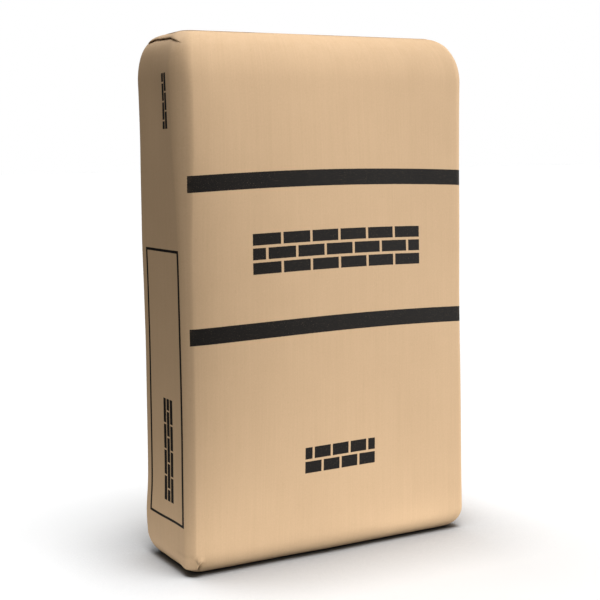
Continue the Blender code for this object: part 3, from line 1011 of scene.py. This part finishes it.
def add_lamp(name, kind, strength, place, turn, **settings):
    """A lamp at a place, turned from facing down. The camera doesn't see the panels."""
    light = bpy.data.lights.new(name, kind)
    light.energy = strength
    for key, value in settings.items():
        setattr(light, key, value)
    lamp = in_scene(name, light)
    lamp.location = place
    lamp.rotation_euler = turn
    lamp.visible_camera = kind == "SUN"
    return lamp


def facing_away(back):
    """Turn of a lamp that shines away from a direction."""
    return back.to_track_quat("Z", "Y").to_euler()


def add_sun(name, azimuth, elevation, strength):
    """A soft sun from a direction."""
    back, angle = direction(azimuth, elevation), math.radians(SUN_ANGLE)
    return add_lamp(name, "SUN", strength, back * SUN_DISTANCE, facing_away(back), angle=angle)


def add_panel(name, azimuth, elevation, power, size, distance):
    """A soft square light at a distance from the sack's middle, turned to it."""
    back = direction(azimuth, elevation)
    place = back * distance + Vector((0, 0, HALF_Z))
    return add_lamp(name, "AREA", power, place, facing_away(back), size=size)


def add_glow(name, x, y, wide, deep, power):
    """A light lying on the floor and facing up, for the white floor's own glow."""
    place, turn = (x, y, GLOW_HEIGHT), (math.pi, 0, 0)
    return add_lamp(name, "AREA", power, place, turn, shape="RECTANGLE", size=wide, size_y=deep)


def share_out(lamps, floor, state):
    """Lets lamps light the floor alone (INCLUDE) or all but the floor (EXCLUDE)."""
    group = bpy.data.collections.new("lit_" + state.lower())
    group.objects.link(floor)
    group.collection_objects[0].light_linking.link_state = state
    for lamp in lamps:
        lamp.light_linking.receiver_collection = group


def add_world():
    """White behind everything for the camera. For the sack it is a faint glow from above the
    horizon."""
    world = bpy.data.worlds.new("white surround")
    world.use_nodes = True
    tree = world.node_tree
    way = add_node(tree, "TexCoord").outputs["Generated"]
    up = add_node(tree, "SeparateXYZ", ((0, way),)).outputs[2]
    links = ((0, up), (1, -HORIZON), (2, HORIZON), (3, 0.0), (4, SKY_GLOW))
    level = add_node(tree, "MapRange", links).outputs[0]
    seen = add_node(tree, "LightPath").outputs["Is Camera Ray"]
    glow = tree.nodes["Background"]
    glow.inputs["Color"].default_value = WHITE
    tree.links.new(level, glow.inputs["Strength"])
    links = (("Color", WHITE), ("Strength", 1.0))
    backdrop = add_node(tree, "Background", links).outputs[0]
    links = ((0, seen), (1, glow.outputs[0]), (2, backdrop))
    blend = add_node(tree, "MixShader", links).outputs[0]
    tree.links.new(blend, tree.nodes["World Output"].inputs["Surface"])
    bpy.context.scene.world = world


def add_light(floor):
    """Soft studio light. The sack has two keys from the right, fills from the left and the
    back, two near panels in front, and the white floor's glow around it. The floor has lights
    of its own from high up, so that its shadow stays short."""
    add_world()
    on_sack = [
        add_sun("key", 70, 10, 2.00),
        add_sun("high key", 60, 40, 1.30),
        add_sun("left fill", -40, 10, 1.10),
        add_sun("back", 180, 60, 1.88),
        add_panel("low front", 45, -6, power=1.34, size=0.35, distance=0.8),
        add_panel("high front", 0, 65, power=0.75, size=0.4, distance=0.6),
        add_glow("floor on the left", -0.275, -0.02, wide=0.20, deep=0.30, power=0.151),
        add_glow("floor in front", -0.03, -0.20, wide=0.36, deep=0.25, power=0.268),
        add_glow("floor on the right", 0.16, -0.17, wide=0.20, deep=0.20, power=0.08),
        add_glow("floor by the front", 0.015, -0.072, wide=0.32, deep=0.026, power=0.008),
    ]
    on_floor = [
        add_sun("floor front", 0, 75, 2.40),
        add_sun("floor back", 205, 66, 0.75),
        add_sun("floor low", 40, 55, 0.15),
    ]
    for lamp in on_floor:
        lamp.data.color = FLOOR_LIGHT
    share_out(on_sack, floor, "EXCLUDE")
    share_out(on_floor, floor, "INCLUDE")
    bpy.context.scene.view_settings.view_transform = "Standard"


def add_camera():
    """The photograph's view, from the fit of the sack's outline."""
    back = direction(CAMERA_AZIMUTH, CAMERA_ELEVATION)
    data = bpy.data.cameras.new("camera")
    data.lens, data.sensor_width = CAMERA_LENS, CAMERA_SENSOR
    data.clip_start, data.clip_end = 0.05, 100
    camera = in_scene("camera", data)
    place = Matrix.Translation(Vector(CAMERA_AIM) + back * CAMERA_DISTANCE)
    turn = back.to_track_quat("Z", "Y").to_matrix().to_4x4()
    camera.matrix_world = place @ turn @ Matrix.Rotation(math.radians(CAMERA_ROLL), 4, "Z")
    bpy.context.scene.camera = camera


dress()
add_light(add_room())
add_camera()
